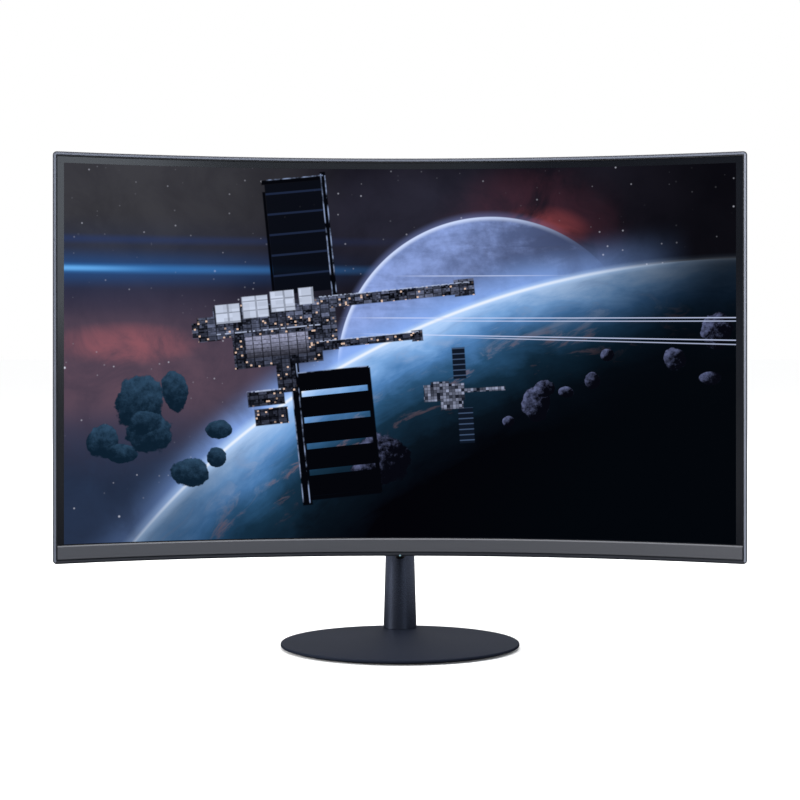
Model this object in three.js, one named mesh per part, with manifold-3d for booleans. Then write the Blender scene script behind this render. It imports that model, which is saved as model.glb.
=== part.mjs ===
// A curved 27-inch class computer monitor on a tilting stand.
// Units are millimetres, +Z is up, the screen faces -Y, and the origin is the middle of the base on the desk.
import * as THREE from "three";
import { mergeVertices } from "three/addons/utils/BufferGeometryUtils.js";
import Module from "manifold-3d";

const wasm = await Module();
wasm.setup();

// ---- Driving dimensions -------------------------------------------------------------------------------
const GAP = 0.3; // running or fitting gap between neighbouring pieces

// Head: the screen, its case and what is inside.
const HEAD_WIDTH = 612; // straight across the front corners
const HEAD_HEIGHT = 364.5;
const HEAD_BOTTOM = 80.1; // above the desk
const CORNER_RADIUS = 3.6;
const SCREEN_RADIUS = 800; // the screen bends round a vertical axis this far in front of it
const EDGE_DEPTH = 14; // case depth behind the screen at its edges
const SHOULDER_DEPTH = 12; // added once past the sloping border
const SHOULDER_RUN = 30;
const BULGE_DEPTH = 12; // added again over the middle
const CASE_DEPTH = EDGE_DEPTH + SHOULDER_DEPTH + BULGE_DEPTH;
const BULGE_HALF_WIDTH = 110;
const BULGE_TOP = 215;
const BULGE_RUN = 60;
const WALL = 2.5;

// Front frame and chin.
const RIM = 4;
const BOTTOM_RIM = 3.6;
const RIM_PROUD = 1.2; // the rim stands this far in front of the glass
const FRAME_DEPTH = 9;
const CHIN_HEIGHT = 12.6;
const GLASS_THICKNESS = 1.4;

// Stand.
const BASE_WIDTH = 216;
const BASE_DEPTH = 184;
const PAD_THICKNESS = 0.9;
const BASE_BOTTOM = PAD_THICKNESS + GAP;
const BASE_THICKNESS = 3.6;
const BASE_TOP = BASE_BOTTOM + BASE_THICKNESS;
const NECK_SETBACK = 15; // from the base's rear edge to the neck's axis
const NECK_FOOT_WIDTH = 31.4;
const NECK_TAPER = 0.056; // width lost for each millimetre of height
const NECK_ROUNDNESS = 0.76; // depth as a share of width
const NECK_WALL = 2.2;

// Tilt hinge.
const HINGE_HEIGHT = 195;
const HINGE_OFFSET = 20; // the hinge axis is this far behind the case
const SHAFT_RADIUS = 4;
const BARREL_RADIUS = 11;
const BARREL_HALF = 15.5;
const EAR_THICKNESS = 3;
const NECK_TOP = HINGE_HEIGHT - BARREL_RADIUS - 2;

// Places that follow from the above.
const NECK_Y = BASE_DEPTH / 2 - NECK_SETBACK;
const SCREEN_Y = NECK_Y - HINGE_OFFSET - CASE_DEPTH;
const HEAD_TOP_LIMIT = HEAD_HEIGHT - RIM;
const EDGE_ARC = SCREEN_RADIUS * Math.asin(HEAD_WIDTH / 2 / SCREEN_RADIUS);

// ---- Materials ----------------------------------------------------------------------------------------
const material = (color, roughness, metalness = 0) =>
  new THREE.MeshStandardMaterial({ color, roughness, metalness });
const MATERIALS = {
  casePlastic: material(0x2e323d, 0.55),
  chin: material(0x5a5b60, 0.45, 0.3),
  frame: material(0x4a4d55, 0.4, 0.4),
  glass: material(0x06070a, 0.12),
  sheet: material(0xe8e8e6, 0.5),
  steel: material(0x9a9ca0, 0.35, 0.9),
  board: material(0x14532d, 0.6),
  connector: material(0xb8bac0, 0.3, 0.9),
  blackPlastic: material(0x111317, 0.5),
  stand: material(0x3c404c, 0.45, 0.3),
  rubber: material(0x141414, 0.9),
  lens: material(0xbfe8ef, 0.2),
  brass: material(0xb08d4a, 0.35, 0.9),
};

// ---- Geometry helpers ---------------------------------------------------------------------------------
function solidOf(geometry) {
  const bare = geometry.index ? geometry.toNonIndexed() : geometry.clone();
  bare.deleteAttribute("normal");
  bare.deleteAttribute("uv");
  const merged = mergeVertices(bare, 1e-3);
  return new wasm.Manifold(
    new wasm.Mesh({
      numProp: 3,
      vertProperties: merged.attributes.position.array,
      triVerts: new Uint32Array(merged.index.array),
    }),
  );
}

function geometryOf(solid) {
  const mesh = solid.getMesh();
  const made = new THREE.BufferGeometry();
  made.setAttribute("position", new THREE.BufferAttribute(mesh.vertProperties, 3));
  made.setIndex(new THREE.BufferAttribute(mesh.triVerts, 1));
  made.computeVertexNormals();
  return made;
}

const combine = (method, first, rest) =>
  geometryOf(rest.reduce((whole, next) => whole[method](solidOf(next)), solidOf(first)));
const cut = (first, ...rest) => combine("subtract", first, rest);
const join = (first, ...rest) => combine("add", first, rest);
const common = (first, ...rest) => combine("intersect", first, rest);

function block([x0, x1], [y0, y1], [z0, z1], columns = 1) {
  return new THREE.BoxGeometry(x1 - x0, y1 - y0, z1 - z0, columns, 1, 1).translate(
    (x0 + x1) / 2,
    (y0 + y1) / 2,
    (z0 + z1) / 2,
  );
}

// A round bar along an axis, from one coordinate to the other, through the point given.
function rod(axis, radius, [from, to], [x, y, z], segments = 24) {
  const bar = new THREE.CylinderGeometry(radius, radius, to - from, segments);
  bar.translate(0, (from + to) / 2, 0);
  if (axis === "x") bar.rotateZ(-Math.PI / 2);
  if (axis === "z") bar.rotateX(Math.PI / 2);
  return bar.translate(x, y, z);
}

// Bends flat geometry round the screen's axis: x becomes arc length at the glass, and y is depth behind it.
function bend(geometry) {
  const position = geometry.attributes.position;
  for (let i = 0; i < position.count; i++) {
    const angle = position.getX(i) / SCREEN_RADIUS;
    const radius = SCREEN_RADIUS + position.getY(i);
    position.setX(i, radius * Math.sin(angle));
    position.setY(i, radius * Math.cos(angle) - SCREEN_RADIUS);
  }
  return geometry;
}

// A curved plate as wide as the straight distance given.
function curvedPlate(width, depths, heights, columns = 20) {
  const half = SCREEN_RADIUS * Math.asin(width / 2 / SCREEN_RADIUS);
  return bend(block([-half, half], depths, heights, columns));
}

// The head's outline seen from the front, a rounded rectangle, as a long prism along Y.
function headOutline() {
  const x = HEAD_WIDTH / 2;
  const shape = new THREE.Shape();
  shape.moveTo(-x + CORNER_RADIUS, 0);
  shape.absarc(x - CORNER_RADIUS, CORNER_RADIUS, CORNER_RADIUS, -Math.PI / 2, 0);
  shape.absarc(x - CORNER_RADIUS, HEAD_HEIGHT - CORNER_RADIUS, CORNER_RADIUS, 0, Math.PI / 2);
  shape.absarc(-x + CORNER_RADIUS, HEAD_HEIGHT - CORNER_RADIUS, CORNER_RADIUS, Math.PI / 2, Math.PI);
  shape.absarc(-x + CORNER_RADIUS, CORNER_RADIUS, CORNER_RADIUS, Math.PI, 1.5 * Math.PI);
  const length = 200;
  return new THREE.ExtrudeGeometry(shape, { depth: length, bevelEnabled: false, curveSegments: 5 })
    .rotateX(Math.PI / 2)
    .translate(0, length / 2, 0);
}

const smooth = (t) => {
  const s = Math.min(1, Math.max(0, t));
  return s * s * (3 - 2 * s);
};

// Depth of the case's outer back surface, at an arc length and a height on the head.
function backDepth(arc, height) {
  const fromEdge = Math.min(EDGE_ARC - Math.abs(arc), height, HEAD_HEIGHT - height);
  const across = 1 - smooth((Math.abs(arc) - BULGE_HALF_WIDTH) / BULGE_RUN);
  const upward = 1 - smooth((height - BULGE_TOP) / BULGE_RUN);
  return EDGE_DEPTH + SHOULDER_DEPTH * smooth(fromEdge / SHOULDER_RUN) + BULGE_DEPTH * across * upward;
}

// Grid lines from one value to another that crowd into the sloping stretches.
const mirrored = (lines) => [...lines.map((v) => -v).reverse(), 0, ...lines];
const shoulderLines = [0, 0.25, 0.5, 0.75, 1].map((share) => share * SHOULDER_RUN);
const bulgeLines = [0, 0.25, 0.5, 0.75, 1].map((share) => share * BULGE_RUN);

// A curved solid from a front depth to the back surface less a wall, inset from the head's edges.
function backSolid(front, wall, sideArc, bottom, top) {
  const arcs = mirrored([
    28,
    56,
    84,
    ...bulgeLines.map((run) => BULGE_HALF_WIDTH + run),
    198,
    226,
    254,
    ...shoulderLines.map((run) => sideArc - run).reverse(),
  ]);
  const heights = [
    ...shoulderLines.map((run) => bottom + run),
    75,
    120,
    168,
    ...bulgeLines.map((run) => BULGE_TOP + run),
    305,
    ...shoulderLines.map((run) => top - run).reverse(),
  ];
  const columns = arcs.length - 1;
  const rows = heights.length - 1;
  const geometry = new THREE.BoxGeometry(columns, 1, rows, columns, 1, rows);
  const position = geometry.attributes.position;
  for (let i = 0; i < position.count; i++) {
    const arc = arcs[Math.round(position.getX(i) + columns / 2)];
    const height = heights[Math.round(position.getZ(i) + rows / 2)];
    const atBack = position.getY(i) > 0;
    position.setXYZ(i, arc, atBack ? backDepth(arc, height) - wall : front, height);
  }
  return bend(geometry);
}

// Moves a piece drawn at the screen's middle to an arc length and height on the head, square to the screen.
function placed(geometry, arc, height, depth) {
  const angle = arc / SCREEN_RADIUS;
  const radius = SCREEN_RADIUS + depth;
  return geometry
    .rotateZ(-angle)
    .translate(radius * Math.sin(angle), radius * Math.cos(angle) - SCREEN_RADIUS, height);
}

const lathe = (points, segments = 24) =>
  new THREE.LatheGeometry(
    points.map(([r, z]) => new THREE.Vector2(r, z)),
    segments,
  ).rotateX(Math.PI / 2);

// ---- Groups -------------------------------------------------------------------------------------------
const monitor = new THREE.Group();
const head = new THREE.Group(); // y is depth behind the middle of the glass, z is height on the head
head.position.set(0, SCREEN_Y, HEAD_BOTTOM);
const hinge = new THREE.Group(); // origin on the tilt axis
hinge.position.set(0, NECK_Y, HINGE_HEIGHT);
const stand = new THREE.Group();
monitor.add(head, hinge, stand);

function add(group, name, geometry, look) {
  const mesh = new THREE.Mesh(geometry, look);
  mesh.name = name;
  group.add(mesh);
}

// ---- Head: front frame, chin and power light ----------------------------------------------------------
const LED_WIDTH = 3.2;
const LED_TOP = 1.9; // above the head's bottom edge
const LED_PROUD = 0.5;

function ledBlock(gap) {
  const side = LED_WIDTH / 2 + gap;
  return block([-side, side], [-RIM_PROUD - LED_PROUD - gap, 3 + gap], [-LED_PROUD - gap, LED_TOP + gap]);
}

function makeFront() {
  const frame = cut(
    common(curvedPlate(HEAD_WIDTH + 10, [-RIM_PROUD, FRAME_DEPTH], [-1, HEAD_HEIGHT + 1]), headOutline()),
    curvedPlate(HEAD_WIDTH - 2 * RIM, [-RIM_PROUD - 2, FRAME_DEPTH + 2], [BOTTOM_RIM, HEAD_TOP_LIMIT]),
    ledBlock(GAP),
  );
  add(head, "front_frame", frame, MATERIALS.frame);

  const inside = HEAD_WIDTH - 2 * (RIM + 0.4);
  const chinTop = BOTTOM_RIM + CHIN_HEIGHT;
  add(head, "chin_bar", curvedPlate(inside, [-1, 1.5], [BOTTOM_RIM + GAP, chinTop]), MATERIALS.chin);
  const glass = curvedPlate(inside, [0, GLASS_THICKNESS], [chinTop + GAP, HEAD_TOP_LIMIT - 0.4]);
  add(head, "lcd_panel", glass, MATERIALS.glass);
  add(head, "power_light_lens", ledBlock(0), MATERIALS.lens);
}

// ---- Head: backlight ----------------------------------------------------------------------------------
const TRAY_BACK = 7.5;
const TRAY_BOTTOM = 4.6;

function makeBacklight() {
  const top = HEAD_TOP_LIMIT - 0.4;
  const tray = cut(
    curvedPlate(603, [1.9, TRAY_BACK], [TRAY_BOTTOM, top]),
    curvedPlate(601, [0, TRAY_BACK - 0.8], [TRAY_BOTTOM + 1, top - 1]),
  );
  add(head, "backlight_chassis", tray, MATERIALS.steel);
  const sheetWidth = 600;
  const guideBottom = TRAY_BOTTOM + 5;
  const guideTop = top - 1.4;
  const layer = (name, depths, look) =>
    add(head, name, curvedPlate(sheetWidth, depths, [guideBottom, guideTop]), look);
  layer("optical_sheets", [1.9, 2.6], MATERIALS.sheet);
  layer("light_guide", [3, 5.4], MATERIALS.sheet);
  layer("reflector_sheet", [5.8, 6.3], MATERIALS.sheet);
  const ledStrip = curvedPlate(596, [2.9, 5.5], [TRAY_BOTTOM + 1.4, guideBottom - 0.4]);
  add(head, "led_strip", ledStrip, MATERIALS.board);
}

// ---- Head: electronics --------------------------------------------------------------------------------
const BOARD_FRONT = 9.4;
const BOARD_BACK = 11;
const BOARD = { x: [30, 135], z: [36, 98] };
const PORT_MOUTH = 18.5; // depth of the sockets' mouths
const PORT_HEIGHT = 73; // the sockets' centre line on the head
const PORTS = [
  { name: "power_jack", x: 43, width: 10, height: 11 },
  { name: "video_port_1", x: 61, width: 15, height: 6.2 },
  { name: "video_port_2", x: 81, width: 15, height: 6.2 },
  { name: "video_port_3", x: 102, width: 17, height: 6.4 },
  { name: "headphone_jack", x: 118, width: 7.5, height: 7.5 },
];

function portBody({ x, width, height }, gap) {
  const halfWidth = width / 2 + gap;
  const halfHeight = height / 2 + gap;
  return block(
    [x - halfWidth, x + halfWidth],
    [BOARD_BACK + GAP, PORT_MOUTH],
    [PORT_HEIGHT - halfHeight, PORT_HEIGHT + halfHeight],
  );
}

function makePort(port) {
  const body = portBody(port, 0);
  const mouth = [PORT_MOUTH - 6, PORT_MOUTH + 1];
  if (port.name === "power_jack") {
    const bore = rod("y", 3.2, mouth, [port.x, 0, PORT_HEIGHT], 20);
    const pin = rod("y", 1, [BOARD_BACK + GAP + 0.5, PORT_MOUTH - 0.8], [port.x, 0, PORT_HEIGHT], 10);
    return join(cut(body, bore), pin);
  }
  if (port.name === "headphone_jack") {
    return cut(body, rod("y", 1.8, mouth, [port.x, 0, PORT_HEIGHT], 16));
  }
  const shell = 0.8;
  const halfWidth = port.width / 2 - shell;
  const halfHeight = port.height / 2 - shell;
  const [x, z] = [port.x, PORT_HEIGHT];
  const socket = block([x - halfWidth, x + halfWidth], mouth, [z - halfHeight, z + halfHeight]);
  const tongue = block(
    [x - halfWidth + 1.2, x + halfWidth - 1.2],
    [BOARD_BACK + 0.5, PORT_MOUTH - 1],
    [z - 0.5, z + 0.5],
  );
  return join(cut(body, socket), tongue);
}

// A thin round cable through the points given.
function wire(points, radius) {
  const path = new THREE.CatmullRomCurve3(points.map(([x, y, z]) => new THREE.Vector3(x, y, z)));
  const section = new THREE.Shape().absarc(0, 0, radius, 0, 2 * Math.PI);
  return new THREE.ExtrudeGeometry(section, { extrudePath: path, steps: 14, curveSegments: 4 });
}

function makeElectronics() {
  add(head, "main_board", block(BOARD.x, [BOARD_FRONT, BOARD_BACK], BOARD.z), MATERIALS.board);
  for (const port of PORTS) add(head, port.name, makePort(port), MATERIALS.connector);
  const driver = block([-130, -50], [BOARD_FRONT, BOARD_BACK], [45, 98]);
  add(head, "backlight_driver_board", driver, MATERIALS.board);
  const sourceBoard = bend(block([-150, 150], [8.3, 9.5], [16.5, 34], 10));
  add(head, "panel_driver_board", sourceBoard, MATERIALS.board);

  // The flat cable climbs from the panel's driver board onto the main board's back.
  const route = [
    [7.6, 20],
    [7.6, 29],
    [11.4, 35],
    [11.4, 47],
  ];
  const thickness = 0.4;
  const outline = [...route, ...route.map(([y, z]) => [y + thickness, z]).reverse()];
  const ribbon = new THREE.ExtrudeGeometry(
    new THREE.Shape(outline.map(([y, z]) => new THREE.Vector2(y, z))),
    { depth: 24, bevelEnabled: false },
  );
  // The shape's x and y are the head's y and z, and the extrusion runs along x.
  ribbon.applyMatrix4(new THREE.Matrix4().set(0, 0, 1, 60, 1, 0, 0, 0, 0, 1, 0, 0, 0, 0, 0, 1));
  add(head, "panel_ribbon_cable", ribbon, MATERIALS.sheet);

  for (const [side, name] of [
    [-1, "left"],
    [1, "right"],
  ]) {
    const ends = side < 0 ? [-245, -150] : [150, 245];
    add(head, `speaker_${name}`, bend(block(ends, [9, 15.5], [15, 37], 4)), MATERIALS.blackPlastic);
  }
  const leftRoute = [
    [-149, -1, 25],
    [-110, 5, 31],
    [-60, 10, 32],
    [0, 12.5, 33],
    [29, 11.5, 45],
  ];
  const rightRoute = [
    [149, -1, 25],
    [137, 2, 31],
    [120, 7, 33.5],
    [110, 10.2, 34.6],
  ];
  add(head, "speaker_cable_left", wire(leftRoute, 0.9), MATERIALS.blackPlastic);
  add(head, "speaker_cable_right", wire(rightRoute, 0.9), MATERIALS.blackPlastic);
}

// ---- Head: jog control under the chin -----------------------------------------------------------------
const JOG_Y = 16;
const JOG_PIVOT = 9; // height of the gimbal's axes on the head
const JOG_CAP_RADIUS = 4.2;
const JOG_HOLE_RADIUS = 6.2;
const JOG_BOTTOM = -4.5;

function makeJog() {
  const housing = cut(
    block([-9, 9], [JOG_Y - 7.4, JOG_Y + 7], [4.4, 13.6]),
    block([-7, 7], [JOG_Y - 5.9, JOG_Y + 5.9], [3, 12.4]),
  );
  add(head, "jog_housing", housing, MATERIALS.blackPlastic);
  add(head, "jog_board", block([-11, 11], [JOG_Y - 6, JOG_Y + 7], [13.9, 15.1]), MATERIALS.board);
  const centre = [0, JOG_Y, 0];
  const gimbal = cut(
    rod("z", 5.4, [JOG_PIVOT - 1, JOG_PIVOT + 1], centre),
    rod("z", 3.6, [JOG_PIVOT - 3, JOG_PIVOT + 3], centre),
  );
  add(head, "jog_gimbal", gimbal, MATERIALS.connector);
  const stem = join(
    rod("z", 1.6, [2.6, JOG_PIVOT + 1.6], centre, 16),
    rod("z", 2.9, [JOG_PIVOT - 0.8, JOG_PIVOT + 0.8], centre, 16),
  );
  add(head, "jog_stem", stem, MATERIALS.connector);
  const cap = cut(
    lathe([
      [0, JOG_BOTTOM],
      [3, JOG_BOTTOM],
      [JOG_CAP_RADIUS, JOG_BOTTOM + 1.1],
      [JOG_CAP_RADIUS, 4.6],
      [0, 4.6],
    ]).translate(0, JOG_Y, 0),
    rod("z", 1.9, [1, 6], centre, 16),
  );
  add(head, "jog_cap", cap, MATERIALS.blackPlastic);
}

// ---- Head: mounting plate, hinge bracket and posts for a wall arm ---------------------------------------
const PLATE_BACK = 10.6;
const VESA_PITCH = 75;
const VESA_CENTRE = HEAD_HEIGHT / 2; // height on the head
const VESA_PAD = { half: 50, back: CASE_DEPTH + 0.2 };
const HINGE_ON_HEAD = HINGE_HEIGHT - HEAD_BOTTOM;
const HINGE_DEPTH = CASE_DEPTH + HINGE_OFFSET;
const EAR_INNER = BARREL_HALF + 0.5;
const vesaPoints = [-1, 1].flatMap((sx) =>
  [-1, 1].map((sz) => [(sx * VESA_PITCH) / 2, VESA_CENTRE + (sz * VESA_PITCH) / 2]),
);

function ear(side, gap) {
  const [near, far] = [EAR_INNER - gap, EAR_INNER + EAR_THICKNESS + gap];
  const x = side < 0 ? [-far, -near] : [near, far];
  const half = 12 + gap;
  const arm = block(x, [PLATE_BACK + 1, HINGE_DEPTH], [HINGE_ON_HEAD - half, HINGE_ON_HEAD + half]);
  return join(arm, rod("x", half, x, [0, HINGE_DEPTH, HINGE_ON_HEAD], 32));
}

function makeMounting() {
  const plate = block([-70, 70], [9, PLATE_BACK], [HINGE_ON_HEAD - 13, 232]);
  add(head, "mount_plate", plate, MATERIALS.steel);
  const foot = [PLATE_BACK + GAP, PLATE_BACK + 3];
  const bracket = cut(
    join(block([-27, 27], foot, [HINGE_ON_HEAD - 12, HINGE_ON_HEAD + 12]), ear(-1, 0), ear(1, 0)),
    rod("x", SHAFT_RADIUS + GAP, [-40, 40], [0, HINGE_DEPTH, HINGE_ON_HEAD]),
  );
  add(head, "hinge_bracket", bracket, MATERIALS.steel);
  vesaPoints.forEach(([x, z], i) => {
    const post = cut(
      rod("y", 5, [PLATE_BACK + GAP, VESA_PAD.back - WALL - GAP], [x, 0, z], 16),
      rod("y", 2, [PLATE_BACK + 4, VESA_PAD.back], [x, 0, z], 12),
    );
    add(head, `wall_mount_post_${i + 1}`, post, MATERIALS.brass);
  });
}

// ---- Head: rear cover ---------------------------------------------------------------------------------
const BAY = { x: [35, 125], z: [60, 86], floor: 17 };
const BAY_WALL = 2;
const SCREW_ARC = 215;
const screwPoints = [55, 300].flatMap((height) => [-1, 1].map((side) => [side * SCREW_ARC, height]));

// A row of slots cut square through the back, side by side along the arc.
function slots(count, pitch, [width, height], middleArc, middleHeight) {
  return Array.from({ length: count }, (_, i) => {
    const arc = middleArc + (i - (count - 1) / 2) * pitch;
    const slot = block([-width / 2, width / 2], [-14, 8], [-height / 2, height / 2]);
    return placed(slot, arc, middleHeight, backDepth(arc, middleHeight));
  });
}

function makeRearCover() {
  const front = FRAME_DEPTH + GAP;
  const outer = common(
    backSolid(front, 0, EDGE_ARC + 5, 0, HEAD_HEIGHT),
    headOutline(),
  );
  const inner = backSolid(front - 2, WALL, EDGE_ARC - 8.5, WALL, HEAD_HEIGHT - WALL);
  const pad = block(
    [-VESA_PAD.half, VESA_PAD.half],
    [24, VESA_PAD.back],
    [VESA_CENTRE - VESA_PAD.half, VESA_CENTRE + VESA_PAD.half],
  );
  const padInside = block(
    [-VESA_PAD.half + WALL, VESA_PAD.half - WALL],
    [20, VESA_PAD.back - WALL],
    [VESA_CENTRE - VESA_PAD.half + WALL, VESA_CENTRE + VESA_PAD.half - WALL],
  );
  const grown = ([from, to]) => [from - BAY_WALL, to + BAY_WALL];
  const bayBlock = block(grown(BAY.x), [BAY.floor - BAY_WALL, CASE_DEPTH + 20], grown(BAY.z));
  const shell = join(
    cut(join(outer, pad), inner, padInside),
    common(bayBlock, outer),
  );
  const bayInside = block(BAY.x, [BAY.floor, CASE_DEPTH + 30], BAY.z);
  const cover = cut(
    shell,
    bayInside,
    ...PORTS.map((port) => portBody(port, 0.4)),
    ...vesaPoints.map(([x, z]) => rod("y", 2.6, [20, CASE_DEPTH + 5], [x, 0, z], 16)),
    ear(-1, 0.6),
    ear(1, 0.6),
    rod("z", JOG_HOLE_RADIUS, [-3, 4], [0, JOG_Y, 0]),
    ...screwPoints.map(([arc, z]) =>
      placed(rod("y", 2, [-10, 5], [0, 0, 0], 12), arc, z, backDepth(arc, z)),
    ),
    ...screwPoints.map(([arc, z]) =>
      placed(rod("y", 3.8, [-1.4, 5], [0, 0, 0], 16), arc, z, backDepth(arc, z)),
    ),
    ...slots(13, 9, [3.4, 16], 0, 312),
    ...slots(9, 6, [2.4, 12], -200, 22),
    ...slots(9, 6, [2.4, 12], 200, 22),
  );
  add(head, "rear_cover", cover, MATERIALS.casePlastic);

  screwPoints.forEach(([arc, z], i) => {
    const screw = lathe(
      [
        [0, -7],
        [1.6, -7],
        [1.6, -1.1],
        [3.2, -1.1],
        [3.2, 0.2],
        [2.4, 0.7],
        [0, 0.7],
      ],
      12,
    ).rotateX(-Math.PI / 2);
    add(head, `cover_screw_${i + 1}`, placed(screw, arc, z, backDepth(arc, z)), MATERIALS.steel);
  });
}

// ---- Tilt hinge ---------------------------------------------------------------------------------------
function makeHinge() {
  const earOuter = EAR_INNER + EAR_THICKNESS;
  const washer = [earOuter + 0.4, earOuter + 1.6];
  const nut = [washer[1] + GAP, washer[1] + 4.3];
  const shaftHalf = nut[1] + 1.2;
  add(hinge, "hinge_shaft", rod("x", SHAFT_RADIUS, [-shaftHalf, shaftHalf], [0, 0, 0]), MATERIALS.steel);
  const bore = (length) => rod("x", SHAFT_RADIUS + GAP, [-length, length], [0, 0, 0]);
  for (const [side, name] of [
    [-1, "left"],
    [1, "right"],
  ]) {
    const span = ([near, far]) => (side < 0 ? [-far, -near] : [near, far]);
    const ring = rod("x", 8, span(washer), [0, 0, 0]);
    add(hinge, `friction_washer_${name}`, cut(ring, bore(60)), MATERIALS.steel);
    const hexagon = rod("x", 7.6, span(nut), [0, 0, 0], 6);
    add(hinge, `hinge_nut_${name}`, cut(hexagon, bore(60)), MATERIALS.steel);
    const capEnd = shaftHalf + 2.6;
    const cup = cut(
      rod("x", 12, span([earOuter + GAP, capEnd]), [0, 0, 0], 32),
      rod("x", 9.6, span([earOuter - 1, capEnd - 2]), [0, 0, 0], 32),
    );
    add(hinge, `hinge_cap_${name}`, cup, MATERIALS.blackPlastic);
  }
}

// ---- Stand: neck --------------------------------------------------------------------------------------
const SPINE_HALF_WIDTH = 5.4;
const SPINE_HALF_DEPTH = 3.7;
const SCREW_RADIUS = 2.9;
const SCREW_HOLE_RADIUS = 3.3;

function neckSection(inset, [from, to]) {
  const radiusAt = (z) => (NECK_FOOT_WIDTH - NECK_TAPER * (z - BASE_TOP)) / 2 - inset;
  const cone = new THREE.CylinderGeometry(radiusAt(to), radiusAt(from), to - from, 40)
    .rotateX(Math.PI / 2)
    .translate(0, 0, (from + to) / 2);
  const depthAt = NECK_ROUNDNESS - (inset * (1 - NECK_ROUNDNESS)) / radiusAt(from);
  return cone.scale(1, depthAt, 1).translate(0, NECK_Y, 0);
}

function makeNeck() {
  const foot = BASE_TOP + GAP;
  const tube = cut(neckSection(0, [foot, NECK_TOP]), neckSection(NECK_WALL, [foot - 1, NECK_TOP + 1]));
  add(stand, "neck_tube", tube, MATERIALS.stand);

  const barrelAt = [0, NECK_Y, HINGE_HEIGHT];
  const bar = block(
    [-SPINE_HALF_WIDTH, SPINE_HALF_WIDTH],
    [NECK_Y - SPINE_HALF_DEPTH, NECK_Y + SPINE_HALF_DEPTH],
    [foot, HINGE_HEIGHT - SHAFT_RADIUS - 2],
  );
  const footBlock = block([-9, 9], [NECK_Y - 6, NECK_Y + 6], [foot, foot + 16]);
  const spine = cut(
    join(bar, footBlock, rod("x", BARREL_RADIUS, [-BARREL_HALF, BARREL_HALF], barrelAt, 36)),
    rod("x", SHAFT_RADIUS + GAP, [-40, 40], barrelAt),
    rod("z", SCREW_HOLE_RADIUS, [foot - 1, foot + 13], [0, NECK_Y, 0], 20),
  );
  add(stand, "neck_spine", spine, MATERIALS.stand);
}

// ---- Stand: base --------------------------------------------------------------------------------------
const RECESS_RADIUS = 11.6;
const RECESS_TOP = BASE_BOTTOM + 2.2;

function makeBase() {
  const radius = BASE_WIDTH / 2;
  const profile = [
    [0, BASE_BOTTOM],
    [radius - 2.4, BASE_BOTTOM],
    [radius, BASE_BOTTOM + 1.6],
    [radius, BASE_TOP - 0.9],
    [radius - 1.2, BASE_TOP],
    [0, BASE_TOP],
  ];
  const disc = cut(
    lathe(profile, 72).scale(1, BASE_DEPTH / BASE_WIDTH, 1),
    rod("z", RECESS_RADIUS, [-1, RECESS_TOP], [0, NECK_Y, 0], 28),
    rod("z", SCREW_HOLE_RADIUS, [0, BASE_TOP + 1], [0, NECK_Y, 0], 20),
  );
  add(stand, "base_disc", disc, MATERIALS.stand);

  const padCount = 6;
  for (let i = 0; i < padCount; i++) {
    const angle = (i / padCount) * 2 * Math.PI;
    const at = [0.83 * radius * Math.cos(angle), 0.83 * (BASE_DEPTH / 2) * Math.sin(angle), 0];
    add(stand, `base_pad_${i + 1}`, rod("z", 6.5, [0, PAD_THICKNESS], at, 20), MATERIALS.rubber);
  }

  // The captive screw that ties the base to the neck, turned by the grip bar across its head.
  const screw = join(
    rod("z", 10.8, [1.9, 3.1], [0, NECK_Y, 0], 28),
    rod("z", SCREW_RADIUS, [3, 16], [0, NECK_Y, 0], 20),
    block([-9, 9], [NECK_Y - 1.2, NECK_Y + 1.2], [0.6, 2]),
  );
  add(stand, "base_screw", screw, MATERIALS.steel);
}

makeFront();
makeBacklight();
makeElectronics();
makeJog();
makeMounting();
makeRearCover();
makeHinge();
makeNeck();
makeBase();

export default monitor;
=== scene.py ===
"""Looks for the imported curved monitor: finishes, lit screen, light, floor and camera. Metres, +Z up."""

import math

import bmesh
import bpy
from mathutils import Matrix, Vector


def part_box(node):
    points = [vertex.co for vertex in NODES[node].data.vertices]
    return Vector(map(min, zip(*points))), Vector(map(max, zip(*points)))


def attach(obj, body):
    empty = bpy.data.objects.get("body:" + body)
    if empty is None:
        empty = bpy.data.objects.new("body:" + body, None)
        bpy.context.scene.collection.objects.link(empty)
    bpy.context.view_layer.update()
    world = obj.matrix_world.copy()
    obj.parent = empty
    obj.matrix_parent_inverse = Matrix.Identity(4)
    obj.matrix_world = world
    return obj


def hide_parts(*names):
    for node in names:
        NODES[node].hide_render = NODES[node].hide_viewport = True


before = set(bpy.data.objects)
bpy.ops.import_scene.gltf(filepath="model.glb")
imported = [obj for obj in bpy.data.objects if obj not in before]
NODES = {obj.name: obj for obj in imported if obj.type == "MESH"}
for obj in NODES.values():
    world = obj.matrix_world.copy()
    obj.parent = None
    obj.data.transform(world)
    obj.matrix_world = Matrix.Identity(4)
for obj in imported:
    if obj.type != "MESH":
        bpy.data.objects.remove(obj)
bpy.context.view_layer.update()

# ---- Numbers shared with the solid model ---------------------------------------------------------------
SCREEN_RADIUS = 0.8
GLASS = 0.0014
CASE_EDGE_DEPTH = 0.014
SHOULDER_DEPTH = 0.012
SHOULDER_RUN = 0.030
BULGE_DEPTH = 0.012
BULGE_HALF_WIDTH = 0.110
BULGE_TOP = 0.215
BULGE_RUN = 0.060
JOG_SETBACK = 0.016  # the jog control behind the glass at the middle

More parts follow.
